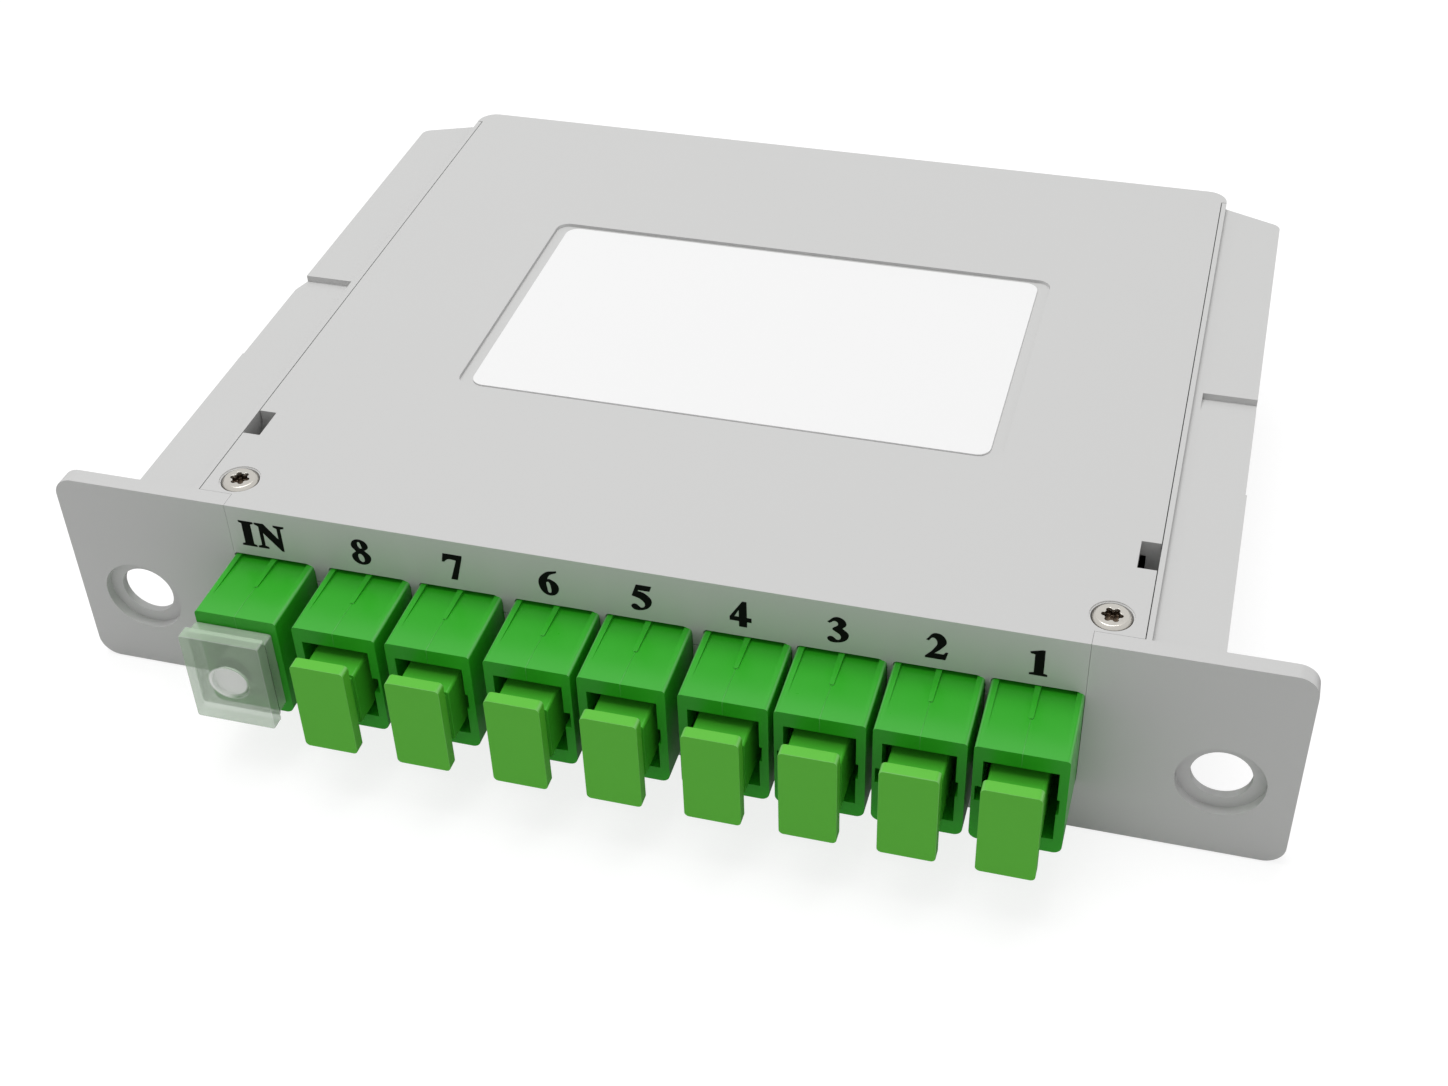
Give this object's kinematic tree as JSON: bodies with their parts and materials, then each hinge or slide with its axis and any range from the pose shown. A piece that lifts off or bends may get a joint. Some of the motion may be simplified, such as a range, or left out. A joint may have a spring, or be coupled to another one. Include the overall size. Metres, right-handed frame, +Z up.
{
  "type": "plug-in fibre splitter box",
  "caption": "Grey plug-in fibre splitter box with guide wings, ears and a row of green square fibre adapters closed by dust caps.",
  "frame": {"origin": "middle of the whole footprint, caps included, on the underside", "axes": "+X along the row of ports to the right, +Y to the rear, +Z up"},
  "size_m": [0.13, 0.101, 0.0248],
  "materials": {
    "housing_grey": "fine moulded grain",
    "label_white": "smooth blank film",
    "screw_steel": "nickel plated",
    "adapter_green": "smooth moulded",
    "holder_plastic": "smooth moulded",
    "zirconia": "polished",
    "cap_green": "soft shine",
    "cap_clear": "frosted and see-through",
    "plug_green": "smooth moulded",
    "module_metal": "brushed",
    "fibre_jacket": "smooth jacket"
  },
  "bodies": {
    "box": {"base_tray": "housing_grey", "top_cover": "housing_grey", "blank_label": "label_white", "cover_screws": "screw_steel", "adapter_in": "adapter_green", "sleeve_holder_in": "holder_plastic", "alignment_sleeve_in": "zirconia", "inner_plug_in": "plug_green", "adapter_8": "adapter_green", "sleeve_holder_8": "holder_plastic", "alignment_sleeve_8": "zirconia", "inner_plug_8": "plug_green", "adapter_7": "adapter_green", "sleeve_holder_7": "holder_plastic", "alignment_sleeve_7": "zirconia", "inner_plug_7": "plug_green", "adapter_6": "adapter_green", "sleeve_holder_6": "holder_plastic", "alignment_sleeve_6": "zirconia", "inner_plug_6": "plug_green", "adapter_5": "adapter_green", "sleeve_holder_5": "holder_plastic", "alignment_sleeve_5": "zirconia", "inner_plug_5": "plug_green", "adapter_4": "adapter_green", "sleeve_holder_4": "holder_plastic", "alignment_sleeve_4": "zirconia", "inner_plug_4": "plug_green", "adapter_3": "adapter_green", "sleeve_holder_3": "holder_plastic", "alignment_sleeve_3": "zirconia", "inner_plug_3": "plug_green", "adapter_2": "adapter_green", "sleeve_holder_2": "holder_plastic", "alignment_sleeve_2": "zirconia", "inner_plug_2": "plug_green", "adapter_1": "adapter_green", "sleeve_holder_1": "holder_plastic", "alignment_sleeve_1": "zirconia", "inner_plug_1": "plug_green", "splitter_module": "module_metal", "fibre_coil": "fibre_jacket", "fibre_leads": "fibre_jacket"},
    "cap_in": {"dust_cap_in": "cap_clear"},
    "cap_8": {"dust_cap_8": "cap_green"},
    "cap_7": {"dust_cap_7": "cap_green"},
    "cap_6": {"dust_cap_6": "cap_green"},
    "cap_5": {"dust_cap_5": "cap_green"},
    "cap_4": {"dust_cap_4": "cap_green"},
    "cap_3": {"dust_cap_3": "cap_green"},
    "cap_2": {"dust_cap_2": "cap_green"},
    "cap_1": {"dust_cap_1": "cap_green"}
  },
  "joints": [
    {"name": "pull_in", "type": "slide", "parent": "box", "child": "cap_in", "axis": [0, -1, 0], "range_m": [0, 0.012]},
    {"name": "pull_8", "type": "slide", "parent": "box", "child": "cap_8", "axis": [0, -1, 0], "range_m": [0, 0.012]},
    {"name": "pull_7", "type": "slide", "parent": "box", "child": "cap_7", "axis": [0, -1, 0], "range_m": [0, 0.012]},
    {"name": "pull_6", "type": "slide", "parent": "box", "child": "cap_6", "axis": [0, -1, 0], "range_m": [0, 0.012]},
    {"name": "pull_5", "type": "slide", "parent": "box", "child": "cap_5", "axis": [0, -1, 0], "range_m": [0, 0.012]},
    {"name": "pull_4", "type": "slide", "parent": "box", "child": "cap_4", "axis": [0, -1, 0], "range_m": [0, 0.012]},
    {"name": "pull_3", "type": "slide", "parent": "box", "child": "cap_3", "axis": [0, -1, 0], "range_m": [0, 0.012]},
    {"name": "pull_2", "type": "slide", "parent": "box", "child": "cap_2", "axis": [0, -1, 0], "range_m": [0, 0.012]},
    {"name": "pull_1", "type": "slide", "parent": "box", "child": "cap_1", "axis": [0, -1, 0], "range_m": [0, 0.012]}
  ]
}
